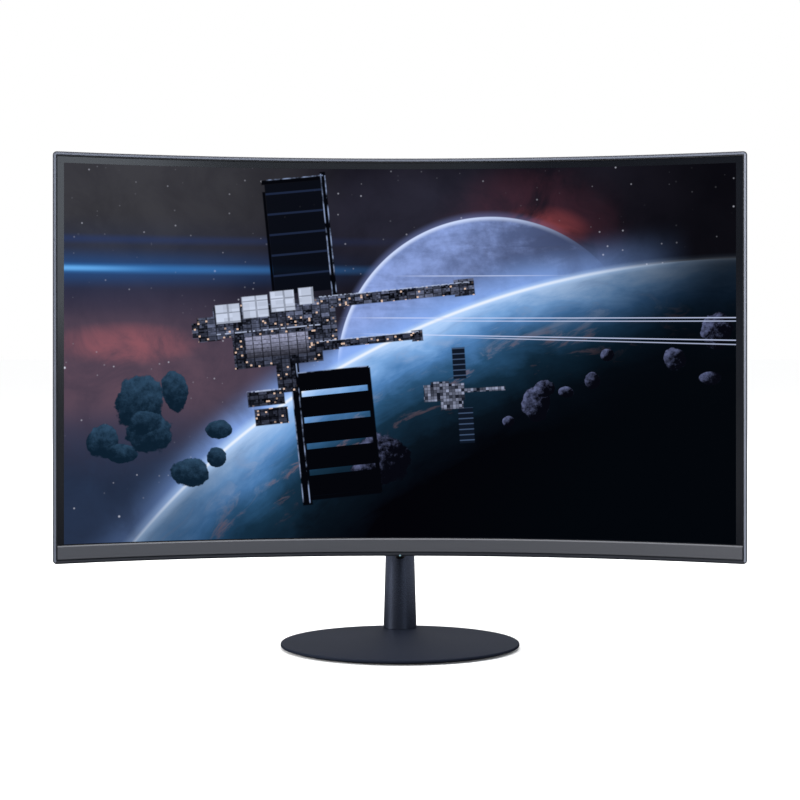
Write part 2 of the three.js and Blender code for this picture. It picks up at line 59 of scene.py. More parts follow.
frame_low, frame_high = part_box("front_frame")
panel_low, panel_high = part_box("lcd_panel")
neck_low, neck_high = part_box("neck_tube")
base_low, base_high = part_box("base_disc")
cap_low, cap_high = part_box("jog_cap")
HEAD_BOTTOM = frame_low.z
HEAD_HEIGHT = frame_high.z - frame_low.z
HEAD_HALF = frame_high.x
HEAD_ARC = SCREEN_RADIUS * math.asin(HEAD_HALF / SCREEN_RADIUS)
jog_low, jog_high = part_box("jog_stem")
SCREEN_Y = (jog_low.y + jog_high.y) / 2 - JOG_SETBACK  # the glass at the middle
NECK_Y = (neck_low.y + neck_high.y) / 2

# The lit area: the panel less its black border.
BORDER_SIDE = 0.0058
BORDER_TOP = 0.0056
BORDER_BOTTOM = 0.0008
PANEL_ARC = SCREEN_RADIUS * math.asin(panel_high.x / SCREEN_RADIUS)
LIT_ARC = PANEL_ARC - BORDER_SIDE
LIT_LOW = panel_low.z + BORDER_BOTTOM
LIT_HIGH = panel_high.z - BORDER_TOP
LIT_HALF = (LIT_HIGH - LIT_LOW) / 2
LIT_MIDDLE = (LIT_HIGH + LIT_LOW) / 2


def linear(red, green, blue):
    """A colour given on a 0 to 255 screen scale, as linear light."""
    out = []
    for value in (red, green, blue):
        c = value / 255
        out.append(c / 12.92 if c <= 0.04045 else ((c + 0.055) / 1.055) ** 2.4)
    return (*out, 1.0)


def toned(colour, share):
    """A colour made darker or lighter."""
    return (*(min(1, c * share) for c in colour[:3]), 1)


# ---- Node trees written as arithmetic ------------------------------------------------------------------
class Field:
    """One output of a node tree, with arithmetic that adds Math nodes."""

    def __init__(self, tree, socket):
        self.tree = tree
        self.socket = socket

    def math(self, operation, *others):
        node = self.tree.nodes.new("ShaderNodeMath")
        node.operation = operation
        for i, value in enumerate((self, *others)):
            feed(self.tree, value, node.inputs[i])
        return Field(self.tree, node.outputs[0])

    def __add__(self, other):
        return self.math("ADD", other)

    def __sub__(self, other):
        return self.math("SUBTRACT", other)

    def __mul__(self, other):
        return self.math("MULTIPLY", other)

    def __truediv__(self, other):
        return self.math("DIVIDE", other)

    def __rsub__(self, other):
        return (self * -1.0) + other

    def __neg__(self):
        return self * -1.0

    __radd__ = __add__
    __rmul__ = __mul__

    def abs(self):
        return self.math("ABSOLUTE")

    def max(self, other):
        return self.math("MAXIMUM", other)

    def power(self, other):
        return self.math("POWER", other)

    def fraction(self):
        return self.math("FRACT")

    def sqrt(self):
        return self.max(0.0).math("SQRT")

    def ramp(self, low, high, to_low=0.0, to_high=1.0):
        """Smoothly from to_low at low to to_high at high, held flat beyond."""
        node = self.tree.nodes.new("ShaderNodeMapRange")
        node.interpolation_type = "SMOOTHSTEP"
        for name, value in (
            ("Value", self),
            ("From Min", low),
            ("From Max", high),
            ("To Min", to_low),
            ("To Max", to_high),
        ):
            feed(self.tree, value, node.inputs[name])
        return Field(self.tree, node.outputs["Result"])


def feed(tree, value, socket):
    if isinstance(value, Field):
        tree.links.new(value.socket, socket)
    else:
        socket.default_value = value


class Maker:
    """Adds the texture and colour nodes of one material."""

    def __init__(self, name):
        self.material = bpy.data.materials.new(name)
        self.material.use_nodes = True
        self.tree = self.material.node_tree
        self.shader = self.tree.nodes["Principled BSDF"]

    def node(self, kind, **settings):
        made = self.tree.nodes.new(kind)
        for key, value in settings.items():
            setattr(made, key, value)
        return made

    def position(self):
        """The piece's own coordinates, in metres, which are the shared frame's at rest."""
        return Field(self.tree, self.node("ShaderNodeTexCoord").outputs["Object"])

    def split(self, vector):
        node = self.node("ShaderNodeSeparateXYZ")
        feed(self.tree, vector, node.inputs[0])
        return [Field(self.tree, out) for out in node.outputs]

    def vector(self, x, y, z=0.0):
        node = self.node("ShaderNodeCombineXYZ")
        for socket, value in zip(node.inputs, (x, y, z)):
            feed(self.tree, value, socket)
        return Field(self.tree, node.outputs[0])

    def scaled(self, vector, scale):
        node = self.node("ShaderNodeMapping")
        feed(self.tree, vector, node.inputs["Vector"])
        node.inputs["Scale"].default_value = scale
        return Field(self.tree, node.outputs[0])

    def turned(self, vector, centre, angle):
        """vector as seen from axes at centre, turned anticlockwise by angle in its x and y."""
        node = self.node("ShaderNodeMapping", vector_type="TEXTURE")
        feed(self.tree, vector, node.inputs["Vector"])
        node.inputs["Location"].default_value = (centre[0], centre[1], 0)
        node.inputs["Rotation"].default_value = (0, 0, angle)
        return Field(self.tree, node.outputs[0])

    def noise(self, vector, scale, detail=2.0, roughness=0.5, distortion=0.0):
        node = self.node("ShaderNodeTexNoise")
        feed(self.tree, vector, node.inputs["Vector"])
        for name, value in (
            ("Scale", scale),
            ("Detail", detail),
            ("Roughness", roughness),
            ("Distortion", distortion),
        ):
            node.inputs[name].default_value = value
        return Field(self.tree, node.outputs[0])

    def cells(self, vector, scale, feature="F1", output="Distance"):
        node = self.node("ShaderNodeTexVoronoi", feature=feature)
        feed(self.tree, vector, node.inputs["Vector"])
        node.inputs["Scale"].default_value = scale
        return Field(self.tree, node.outputs[output])

    def blend(self, factor, first, second, mode="MIX"):
        """A colour from first to second as factor goes from 0 to 1."""
        node = self.node("ShaderNodeMix", data_type="RGBA", blend_type=mode)
        feed(self.tree, factor, node.inputs[0])
        feed(self.tree, first, node.inputs[6])
        feed(self.tree, second, node.inputs[7])
        return Field(self.tree, node.outputs[2])

    def shades(self, factor, *stops):
        """A colour that runs through (place, colour) stops as factor goes from 0 to 1."""
        node = self.node("ShaderNodeValToRGB")
        feed(self.tree, factor, node.inputs["Fac"])
        marks = node.color_ramp.elements
        while len(marks) < len(stops):
            marks.new(1.0)
        for mark, (place, colour) in zip(marks, stops):
            mark.position = place
            mark.color = colour
        return Field(self.tree, node.outputs["Color"])

    def set(self, **inputs):
        for name, value in inputs.items():
            feed(self.tree, value, self.shader.inputs[name.replace("_", " ")])

    def bump(self, height, distance, strength=1.0):
        node = self.node("ShaderNodeBump")
        node.inputs["Distance"].default_value = distance
        node.inputs["Strength"].default_value = strength
        feed(self.tree, height, node.inputs["Height"])
        self.tree.links.new(node.outputs[0], self.shader.inputs["Normal"])


# ---- Finishes ------------------------------------------------------------------------------------------
def painted(name, colour, roughness=0.4, metallic=0.0, specular=0.5, grain=900.0, depth=0.00002):
    """Smooth moulded or painted finish: a fine orange-peel grain and slight drifts of tone and gloss."""
    m = Maker(name)
    place = m.position()
    drift = m.noise(place, 9.0, 3.0)
    fine = m.noise(place, grain, 2.0)
    m.set(
        Base_Color=m.blend(drift, toned(colour, 0.90), toned(colour, 1.10)),
        Roughness=(drift - 0.5) * 0.06 + (fine - 0.5) * 0.08 + roughness,
        Metallic=metallic,
        Specular_IOR_Level=specular,
    )
    m.bump(fine, depth)
    return m.material


def brushed(name, colour, roughness, metallic, along="x"):
    """Finish with fine straight brush lines along one axis."""
    m = Maker(name)
    stretch = {"x": (6, 900, 2600), "z": (2600, 900, 6)}[along]
    lines = m.noise(m.scaled(m.position(), stretch), 1.0, 3.0, 0.6)
    drift = m.noise(m.position(), 12.0, 2.0)
    m.set(
        Base_Color=m.blend(lines * 0.7 + drift * 0.3, toned(colour, 0.86), toned(colour, 1.14)),
        Roughness=(lines - 0.5) * 0.16 + roughness,
        Metallic=metallic,
        Specular_IOR_Level=0.5,
    )
    m.bump(lines, 0.00002, 0.6)
    return m.material


def board_finish(name):
    """Green circuit board with paler tracks and solder dots."""
    m = Maker(name)
    place = m.position()
    tracks = m.cells(place, 260.0, "DISTANCE_TO_EDGE").ramp(0.02, 0.06, 1.0, 0.0)
    dots = m.cells(place, 420.0).ramp(0.12, 0.2, 1.0, 0.0)
    green = m.blend(tracks, linear(14, 74, 40), linear(34, 112, 66))
    m.set(
        Base_Color=m.blend(dots, green, linear(180, 178, 168)),
        Roughness=dots * -0.2 + 0.45,
    )
    m.bump(tracks + dots, 0.0001)
    return m.material


def rubber_finish(name):
    m = Maker(name)
    grain = m.noise(m.position(), 1500.0, 3.0)
    m.set(
        Base_Color=m.blend(grain, linear(16, 16, 17), linear(34, 34, 36)),
        Roughness=grain * 0.12 + 0.78,
        Specular_IOR_Level=0.25,
    )
    m.bump(grain, 0.00008)
    return m.material


def film_finish(name, colour):
    """Pale translucent film with a faint prism ribbing."""
    m = Maker(name)
    _, _, z = m.split(m.position())
    ribs = (z * 900.0).fraction()
    m.set(
        Base_Color=m.blend(ribs, toned(colour, 0.92), colour),
        Roughness=ribs * 0.1 + 0.3,
    )
    m.bump(ribs, 0.00003)
    return m.material


def case_finish(name):
    """The case's back: dark blue-grey plastic, closely ribbed across, with a matt grain."""
    m = Maker(name)
    place = m.position()
    _, _, z = m.split(place)
    wobble = m.noise(place, 40.0, 2.0)
    ribs = ((z * 520.0 + wobble * 0.35).fraction() - 0.5).abs() * 2.0
    grain = m.noise(place, 1600.0, 2.0)
    drift = m.noise(place, 7.0, 2.0)
    tone = ribs * 0.55 + drift * 0.3 + grain * 0.15
    m.set(
        Base_Color=m.blend(tone, linear(34, 39, 51), linear(62, 68, 83)),
        Roughness=grain * 0.15 + 0.48,
        Specular_IOR_Level=0.4,
    )
    m.bump(ribs * 0.8 + grain * 0.3, 0.00025)
    return m.material


def border_finish(name):
    """Black printed border under smooth glass."""
    m = Maker(name)
    soft = m.noise(m.position(), 18.0, 2.0)
    m.set(
        Base_Color=m.blend(soft, linear(10, 12, 17), linear(17, 20, 27)),
        Roughness=soft * 0.06 + 0.16,
        Specular_IOR_Level=0.28,
    )
    return m.material


def lamp_finish(name):
    """Frosted lens over a blue-white lamp, brightest at its middle."""
    m = Maker(name)
    low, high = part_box("power_light_lens")
    x, _, z = m.split(m.position())
    across = (x - (low.x + high.x) / 2) / 0.0016
    upward = (z - (low.z + high.z) / 2) / 0.0014
    core = (across * across + upward * upward).ramp(0.0, 1.3, 1.0, 0.15)
    m.set(
        Base_Color=linear(20, 34, 44),
        Roughness=0.35,
        Emission_Color=m.blend(core, linear(20, 60, 84), linear(176, 226, 240)),
        Emission_Strength=0.5,
    )
    m.bump(m.noise(m.position(), 2200.0, 2.0), 0.00003)
    return m.material


# ---- The lit picture: a made-up view past a moon and a planet's edge -------------------------------------
# Places and sizes are in half-heights of the lit area, from its middle.
PLANET = (1.83, -3.80, 4.30)
MOON = (0.49, -0.09, 0.83)
HAZES = [  # across, up, half width, half height, how wispy, strength, colour
    (-1.70, 0.95, 1.50, 0.75, 0.3, 0.85, linear(64, 64, 69)),
    (-1.50, -0.12, 1.55, 0.60, 0.2, 0.90, linear(78, 68, 86)),
    (-1.55, -0.08, 0.95, 0.34, 0.7, 0.60, linear(104, 78, 90)),
    (-1.48, 0.05, 0.46, 0.13, 1.0, 0.62, linear(158, 92, 100)),
    (-1.50, -0.85, 1.25, 0.62, 0.3, 0.92, linear(40, 54, 80)),
    (0.10, 0.72, 0.80, 0.35, 0.4, 0.45, linear(50, 50, 66)),
    (0.74, 0.66, 0.62, 0.42, 0.9, 0.62, linear(72, 40, 52)),
    (0.76, 0.66, 0.30, 0.15, 1.0, 0.75, linear(140, 66, 70)),
    (1.20, 0.32, 0.62, 0.20, 0.6, 0.55, linear(56, 48, 68)),
]
NEAR_ROCKS = [  # across, up, radius, stretch
    (-1.40, -0.27, 0.145, 0.9),
    (-1.36, -0.42, 0.12, 1.1),
    (-1.22, -0.20, 0.09, 0.6),
    (-1.60, -0.47, 0.09, 1.0),
    (-1.50, -0.53, 0.07, 1.5),
    (-1.14, -0.64, 0.09, 1.2),
    (-0.99, -0.56, 0.055, 0.9),
    (-0.98, -0.41, 0.06, 1.4),
]
FAR_ROCKS = [
    (-0.11, -0.58, 0.15, 1.1),
    (0.74, -0.27, 0.085, 0.8),
    (0.78, -0.19, 0.05, 1.3),
    (1.04, -0.15, 0.045, 1.0),
    (0.90, -0.21, 0.035, 1.4),
    (0.59, -0.37, 0.033, 1.0),
    (1.12, -0.01, 0.035, 1.1),
    (1.48, -0.03, 0.062, 1.0),
    (1.67, -0.13, 0.045, 1.5),
    (1.70, 0.12, 0.088, 0.9),
]


def nearness(u, v, across, up, wide, high):
    """1 at a place, falling smoothly to 0 at an ellipse round it."""
    du = (u - across) / wide
    dv = (v - up) / high
    return (du * du + dv * dv).ramp(0.0, 1.0, 1.0, 0.0)


def starry_sky(m, u, v, place, wisps):
    """Grey-violet dust, drifting hazes and scattered stars."""
    dust = m.noise(place, 1.6, 4.0, 0.6)
    sky = m.blend(dust.ramp(0.3, 0.75), linear(18, 17, 26), linear(34, 32, 43))
    for across, up, wide, high, wispy, strength, colour in HAZES:
        patch = wisps.ramp(0.30, 0.66, 1.0 - wispy, 1.0)
        sky = m.blend(nearness(u, v, across, up, wide, high) * patch * strength, sky, colour)
    sky = m.blend(u.ramp(0.60, 1.65) * v.ramp(-0.2, 0.9, 0.95, 0.80), sky, linear(5, 5, 9))
    for scale, size, rarity, strength in ((10.0, 0.0095, 0.68, 0.95), (24.0, 0.0075, 0.66, 0.42)):
        point = m.cells(place, scale).ramp(size * scale * 0.1, size * scale, 1.0, 0.0)
        chosen, _, _ = m.split(m.cells(place, scale, "F1", "Color"))
        sky = m.blend(point * chosen.ramp(rarity, 1.0) * strength, sky, linear(222, 224, 240))
    return sky


def lens_streaks(m, u, v, picture):
    """Long level streaks of blue light, bright at the left edge."""
    for up, thick, reach, strength, colour in (
        (0.45, 0.32, 1.6, 0.42, linear(34, 54, 92)),
        (0.45, 0.12, 1.9, 0.62, linear(40, 84, 142)),
        (0.45, 0.036, 2.3, 0.80, linear(58, 122, 190)),
        (0.45, 0.022, 0.55, 0.75, linear(110, 184, 250)),
        (0.605, 0.035, 2.4, 0.45, linear(38, 60, 110)),
    ):
        along = (u + 1.8).ramp(0.0, reach, strength, 0.0)
        across = ((v - up) / thick).abs().ramp(0.0, 1.0, 1.0, 0.0)
        picture = m.blend(along * across, picture, colour)
    return picture


def moon(m, u, v, place, picture):
    """A banded grey-blue moon, lit from the upper left."""
    mu = (u - MOON[0]) / MOON[2]
    mv = (v - MOON[1]) / MOON[2]
    radius = (mu * mu + mv * mv).sqrt()
    sun = mv * 0.42 - mu * 0.66
    bands = m.noise(m.scaled(place, (1.0, 4.5, 1.0)), 2.2, 6.0, 0.62, 0.7)
    grain = m.noise(place, 11.0, 5.0, 0.62)
    ground = m.blend(sun.ramp(-0.30, 0.62), linear(38, 42, 66), linear(92, 108, 152))
    ground = m.blend(bands.ramp(0.40, 0.64) * 0.60, ground, linear(60, 64, 88))
    lit = (sun + (bands - 0.5) * 1.3 + (grain - 0.5) * 0.9).ramp(0.02, 1.10)
    ground = m.blend(lit, ground, linear(150, 174, 236))
    rim_side = sun.ramp(-0.10, 0.60)
    ground = m.blend(radius.ramp(0.965, 0.998) * rim_side, ground, linear(208, 222, 255))
    outside = radius.ramp(0.99, 1.05, 0.42, 0.0) * rim_side
    picture = m.blend(outside, picture, linear(120, 134, 190))
    return m.blend(radius.ramp(0.995, 1.004, 1.0, 0.0), picture, ground)


def planet(m, u, v, wisps, picture):
    """A planet's bright edge, the glow above it, and seas and cloud that fade into night below it."""
    pu = u - PLANET[0]
    pv = v - PLANET[1]
    height = (pu * pu + pv * pv).sqrt() - PLANET[2]
    along = pu.math("ARCTAN2", pv) * PLANET[2]
    sunlit = u.ramp(-1.45, -0.78, 0.16, 1.0) * u.ramp(0.40, 1.60, 1.0, 0.0)

    glow = (height / 0.27).ramp(0.0, 1.0, 1.0, 0.0).power(1.9) * sunlit
    picture = m.blend(glow * wisps.ramp(0.25, 0.6, 0.60, 1.0), picture, linear(140, 178, 248))

    streaks = m.noise(m.vector(along * 1.5, height * 5.0), 2.0, 7.0, 0.66, 0.8)
    patches = m.noise(m.vector(along * 1.6, height * 2.6), 1.1, 4.0, 0.6, 0.3)
    depth = -height + (patches - 0.5) * 0.30 + (streaks - 0.5) * 0.16
    reach = u.ramp(-1.0, 0.3, 1.15, 1.0)
    surface = m.shades(
        depth / reach,
        (0.00, linear(176, 208, 250)),
        (0.09, linear(122, 168, 222)),
        (0.17, linear(78, 126, 180)),
        (0.27, linear(42, 82, 118)),
        (0.38, linear(20, 46, 66)),
        (0.56, linear(8, 18, 28)),
        (0.78, linear(2, 2, 6)),
    )
    cloud_light = streaks.ramp(0.52, 0.70) * depth.ramp(0.10, 0.50, 0.55, 0.0)
    surface = m.blend(cloud_light, surface, linear(150, 176, 216))
    dusk = streaks.ramp(0.56, 0.66) * depth.ramp(0.22, 0.34) * depth.ramp(0.36, 0.56, 1.0, 0.0)
    surface = m.blend(dusk * 0.55, surface, linear(120, 92, 96))
    surface = m.blend((u - v * 0.5).ramp(0.20, 1.55, 0.0, 0.97), surface, linear(2, 5, 10))
    surface = m.blend(u.ramp(-1.25, -0.60, 0.72, 0.0), surface, linear(16, 40, 62))
    picture = m.blend(height.ramp(-0.003, 0.003, 1.0, 0.0), picture, surface)

    edge = (height / u.ramp(-1.2, 0.3, 0.060, 0.034)).abs().ramp(0.0, 1.0, 1.0, 0.0)
    picture = m.blend(edge * (sunlit * 0.96 + 0.015), picture, linear(182, 212, 252))
    core = (height / 0.014).abs().ramp(0.0, 1.0, 1.0, 0.0)
    return m.blend(core * (sunlit * 0.94 + 0.02), picture, linear(238, 245, 255))


def rocks(u, v, rough, chosen):
    """(cover, across, up) of a scatter of rocks: where they are, and the place on each from its middle."""
    cover = None
    for across, up, radius, stretch in chosen:
        du = (u - across) / (radius * math.sqrt(stretch))
        dv = (v - up) / (radius / math.sqrt(stretch))
        reach = (du * du + dv * dv).sqrt() + rough
        inside = reach.ramp(0.93, 1.03, 1.0, 0.0)
        if cover is None:
            cover, on_u, on_v = inside, du * inside, dv * inside
        else:
            cover = cover.max(inside)
            on_u = on_u + du * inside
            on_v = on_v + dv * inside
    return cover, on_u, on_v


def rock_fields(m, u, v, place, picture):
    """Pale cratered rocks far off, and dark teal ones nearer."""
    rough = (m.noise(place, 9.0, 4.0, 0.6) - 0.5) * 0.9
    pocks = m.noise(place, 24.0, 4.0, 0.7)
    cover, du, dv = rocks(u, v, rough, FAR_ROCKS)
    facing = (dv * 0.45 - du * 0.60 + (pocks - 0.5) * 2.8).ramp(-0.22, 1.35)
    picture = m.blend(cover, picture, m.blend(facing, linear(5, 6, 14), linear(100, 108, 146)))
    cover, du, dv = rocks(u, v, rough, NEAR_ROCKS)
    facing = (dv * 0.7 + du * 0.1 + (pocks - 0.5) * 2.2).ramp(-0.5, 1.2)
    return m.blend(cover, picture, m.blend(facing, linear(12, 30, 46), linear(48, 76, 102)))


def light_trails(m, u, v, picture):
    """Thin straight trails that cross to the right edge."""
    for up, lean, start, stop, strength in (
        (0.192, -0.002, -0.35, 2.6, 0.80),
        (0.176, -0.003, 0.00, 2.6, 0.72),
        (0.102, -0.018, -0.30, 2.6, 0.82),
        (0.094, -0.026, 0.25, 2.6, 0.66),
        (0.420, 0.000, -0.10, 1.0, 0.70),
    ):
        line = ((v - up) - u * lean).abs().ramp(0.0, 0.0048, 1.0, 0.0)
        run = (u - start).ramp(0.0, 0.35) * (u - stop).ramp(-0.5, 0.0, 1.0, 0.0)
        picture = m.blend(line * run * strength, picture, linear(206, 218, 252))
    return picture


def boxes(u, v, chosen, soft=0.004):
    """Where any of the upright rectangles (centre across, centre up, half width, half height) lies."""
    cover = None
    for across, up, half_u, half_v in chosen:
        out = ((u - across).abs() - half_u).max((v - up).abs() - half_v)
        inside = out.ramp(-soft, soft, 1.0, 0.0)
        cover = inside if cover is None else cover.max(inside)
    return cover


def plates(m, a, b, columns, rows):
    """(shade, pick, seam) of a grid of plates: two random numbers each, and where their seams run."""
    across = a * columns
    upward = b * rows
    node = m.node("ShaderNodeTexWhiteNoise", noise_dimensions="2D")
    feed(m.tree, m.vector(across.math("FLOOR"), upward.math("FLOOR")), node.inputs["Vector"])
    shade, pick, _ = m.split(Field(m.tree, node.outputs["Color"]))
    seam = ((across.fraction() - 0.5).abs()).max((upward.fraction() - 0.5).abs()).ramp(0.40, 0.46)
    return shade, pick, seam


def solar_wings(m, a, b, picture):
    """Ribbed dark wings on a mast, above and below the hull; the lower one lets light through its gaps."""
    dark = linear(3, 4, 9)
    upper = boxes(a, b, [(0.11, 0.42, 0.155, 0.30)])
    upper_lines = ((b * 9.0).fraction() - 0.5).abs().ramp(0.43, 0.47)
    upper_face = m.blend(upper_lines * 0.7, linear(7, 10, 19), linear(34, 46, 74))
    picture = m.blend(upper * 0.97, picture, upper_face)
    slats = ((b * 7.0).fraction() - 0.5).abs().ramp(0.38, 0.40, 1.0, 0.0)
    picture = m.blend(boxes(a, b, [(0.22, -0.66, 0.19, 0.33)]) * slats, picture, dark)
    masts = boxes(
        a,
        b,
        [
            (0.275, 0.40, 0.014, 0.36),
            (-0.052, 0.40, 0.008, 0.28),
            (0.11, 0.73, 0.17, 0.012),
            (0.018, -0.60, 0.026, 0.43),
            (0.415, -0.66, 0.012, 0.34),
            (0.22, -0.995, 0.20, 0.012),
            (0.22, -0.325, 0.20, 0.014),
        ],
    )
    picture = m.blend(masts, picture, dark)
    glints = boxes(
        a,
        b,
        [
            (0.264, 0.40, 0.003, 0.35),
            (0.286, 0.40, 0.003, 0.34),
            (0.11, 0.742, 0.165, 0.003),
            (-0.006, -0.60, 0.003, 0.42),
            (0.030, -0.60, 0.003, 0.42),
            (0.22, -0.312, 0.19, 0.003),
        ],
        0.003,
    )
    worn = m.noise(m.vector(a, b), 14.0, 3.0).ramp(0.40, 0.62) * 0.8
    return m.blend(glints * worn, picture, linear(150, 168, 206))


def observatory(m, place, picture):
    """A plain orbiting observatory: a plated bus with a pale deck, a tube, two booms and solar wings."""
    a, b, _ = m.split(m.turned(place, (-0.62, 0.20), 0.10))
    picture = solar_wings(m, a, b, picture)
    hull = boxes(
        a,
        b,
        [
            (-0.10, 0.00, 0.29, 0.085),
            (-0.06, -0.16, 0.24, 0.100),
            (-0.42, -0.03, 0.06, 0.065),
            (-0.48, -0.03, 0.03, 0.040),
            (0.60, 0.055, 0.42, 0.030),
            (0.98, 0.060, 0.055, 0.046),
            (0.44, -0.175, 0.28, 0.020),
            (0.70, -0.175, 0.03, 0.030),
            (-0.15, -0.43, 0.10, 0.040),
            (-0.13, -0.53, 0.09, 0.045),
            (-0.03, -0.33, 0.05, 0.080),
            (0.20, -0.07, 0.07, 0.135),
        ],
    )
    shade, pick, seam = plates(m, a, b, 21.0, 44.0)
    fine, spark, _ = plates(m, a, b, 92.0, 104.0)
    top_light = b.ramp(-0.30, 0.08, 0.35, 1.0)
    tone = shade.power(2.2) * 0.75 + fine.power(3.0) * 0.45
    skin = m.blend(tone * top_light * (1.0 - seam * 0.7), linear(4, 5, 11), linear(112, 120, 148))
    skin = m.blend(spark.ramp(0.962, 0.972) * 0.75, skin, linear(240, 206, 184))
    picture = m.blend(hull, picture, skin)
    tube = boxes(a, b, [(-0.06, -0.15, 0.17, 0.060)])
    tube_light = ((b + 0.15) / 0.060).ramp(-1.0, 0.9, 0.10, 0.85) * (0.55 + fine * 0.45) * (1.0 - seam * 0.7)
    picture = m.blend(tube, picture, m.blend(tube_light, linear(8, 9, 16), linear(172, 176, 206)))
    deck = boxes(
        a,
        b,
        [
            (-0.31, 0.045, 0.065, 0.050),
            (-0.16, 0.068, 0.070, 0.058),
            (-0.01, 0.085, 0.065, 0.055),
            (0.12, 0.10, 0.04, 0.045),
        ],
    )
    _, _, deck_seam = plates(m, a, b, 13.0, 20.0)
    deck_tone = (0.72 + pick * 0.28) * (1.0 - deck_seam * 0.45)
    picture = m.blend(deck, picture, m.blend(deck_tone, linear(30, 36, 52), linear(206, 216, 238)))
    edges = boxes(
        a,
        b,
        [
            (0.60, 0.087, 0.41, 0.003),
            (0.44, -0.153, 0.27, 0.003),
            (-0.10, -0.062, 0.28, 0.003),
            (-0.15, -0.388, 0.10, 0.004),
        ],
        0.003,
    )
    return m.blend(edges * fine.ramp(0.1, 0.6) * 0.8, picture, linear(186, 198, 226))


def relay(m, place, picture):
    """A small relay satellite, far off: a body between two short wings, with a boom."""
    a, b, _ = m.split(m.turned(place, (0.30, -0.21), 0.06))
    shade, pick, seam = plates(m, a, b, 60.0, 60.0)
    wings = boxes(a, b, [(0.03, 0.155, 0.035, 0.085), (0.05, -0.185, 0.04, 0.095)])
    ribs = ((b * 34.0).fraction() - 0.5).abs().ramp(0.36, 0.42)
    picture = m.blend(wings, picture, m.blend(ribs, linear(14, 22, 36), linear(60, 78, 106)))
    body = boxes(
        a,
        b,
        [
            (-0.06, 0.0, 0.11, 0.045),
            (-0.02, -0.06, 0.06, 0.03),
            (0.13, 0.005, 0.14, 0.010),
            (-0.08, 0.04, 0.05, 0.02),
        ],
    )
    skin = m.blend(shade.power(1.6) * (1.0 - seam * 0.6), linear(14, 18, 30), linear(150, 158, 184))
    return m.blend(body, picture, skin)


def picture_finish(name):
    m = Maker(name)
    x, _, z = m.split(m.position())
    u = (x / SCREEN_RADIUS).math("ARCSINE") * (SCREEN_RADIUS / LIT_HALF)
    v = (z - LIT_MIDDLE) / LIT_HALF
    place = m.vector(u, v)
    wisps = m.noise(place, 3.2, 6.0, 0.62, 0.5)
    picture = starry_sky(m, u, v, place, wisps)
    picture = lens_streaks(m, u, v, picture)
    picture = moon(m, u, v, place, picture)
    picture = planet(m, u, v, wisps, picture)
    picture = rock_fields(m, u, v, place, picture)
    picture = relay(m, place, picture)
    picture = light_trails(m, u, v, picture)
    picture = observatory(m, place, picture)
    m.set(
        Base_Color=(0, 0, 0, 1),
        Roughness=0.42,
        Specular_IOR_Level=0.006,
        Emission_Color=picture,
        Emission_Strength=1.0,
    )
    m.material.cycles.emission_sampling = "NONE"
    return m.material


# ---- Mesh helpers --------------------------------------------------------------------------------------
def placed(name, data):
    """A new object in the scene."""
    made = bpy.data.objects.new(name, data)
    bpy.context.scene.collection.objects.link(made)
    return made


def mesh_from(name, fill):
    """A mesh from a function that fills a bmesh, with its faces turned outward."""
    mesh = bpy.data.meshes.new(name)
    made = bmesh.new()
    fill(made)
    bmesh.ops.recalc_face_normals(made, faces=made.faces)
    made.to_mesh(mesh)
    made.free()
    return mesh


def object_from(name, fill, material, body, *stands_for, smooth=35.0):
    """A new piece on a body, standing for CAD nodes, from a function that fills a bmesh."""
    return finish_piece(placed(name, mesh_from(name, fill)), material, body, *stands_for, smooth=smooth)


def finish_piece(piece, material, body, *stands_for, smooth=35.0):
    """Dresses a piece in a finish, or in several that its faces number, and puts it on its body."""
    if piece.data.materials:
        piece.data.materials.clear()
    for finish in material if isinstance(material, list) else [material]:
        piece.data.materials.append(finish)
    piece.data.shade_smooth()
    piece.data.set_sharp_from_angle(angle=math.radians(smooth))
    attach(piece, body)
    if stands_for:
        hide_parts(*stands_for)
    return piece


def apply_modifiers(piece):
    graph = bpy.context.evaluated_depsgraph_get()
    graph.update()
    mesh = bpy.data.meshes.new_from_object(piece.evaluated_get(graph))
    piece.modifiers.clear()
    piece.data = mesh


def bored(piece, profile, centre, smooth):
    """Cuts a round hole out of a piece; the hole's shape is a lathe profile."""
    drill = placed("drill", mesh_from("drill", lambda made: lathed(made, profile, centre, 1.0, 64)))
    cut = piece.modifiers.new("bore", "BOOLEAN")
    cut.operation = "DIFFERENCE"
    cut.solver = "EXACT"
    cut.object = drill
    apply_modifiers(piece)
    bpy.data.objects.remove(drill)
    piece.data.set_sharp_from_angle(angle=math.radians(smooth))


def eased(name, node, material, body, width, segments, smooth=35.0, angle=30.0):
    """A copy of a CAD node with its sharp edges rounded off, standing for the node."""
    piece = placed(name, NODES[node].data.copy())
    weld = piece.modifiers.new("weld", "WELD")
    weld.merge_threshold = 1e-6
    bevel = piece.modifiers.new("bevel", "BEVEL")
    bevel.width = width
    bevel.segments = segments
    bevel.limit_method = "ANGLE"
    bevel.angle_limit = math.radians(angle)
    bevel.use_clamp_overlap = True
    apply_modifiers(piece)
    return finish_piece(piece, material, body, node, smooth=smooth)


def bent(arc, depth, z):
    """A point at an arc length across, a depth behind the glass and a height."""
    angle = arc / SCREEN_RADIUS
    radius = SCREEN_RADIUS + depth
    return Vector((radius * math.sin(angle), SCREEN_Y - SCREEN_RADIUS + radius * math.cos(angle), z))


def steps(low, high, count):
    return [low + (high - low) * i / count for i in range(count + 1)]


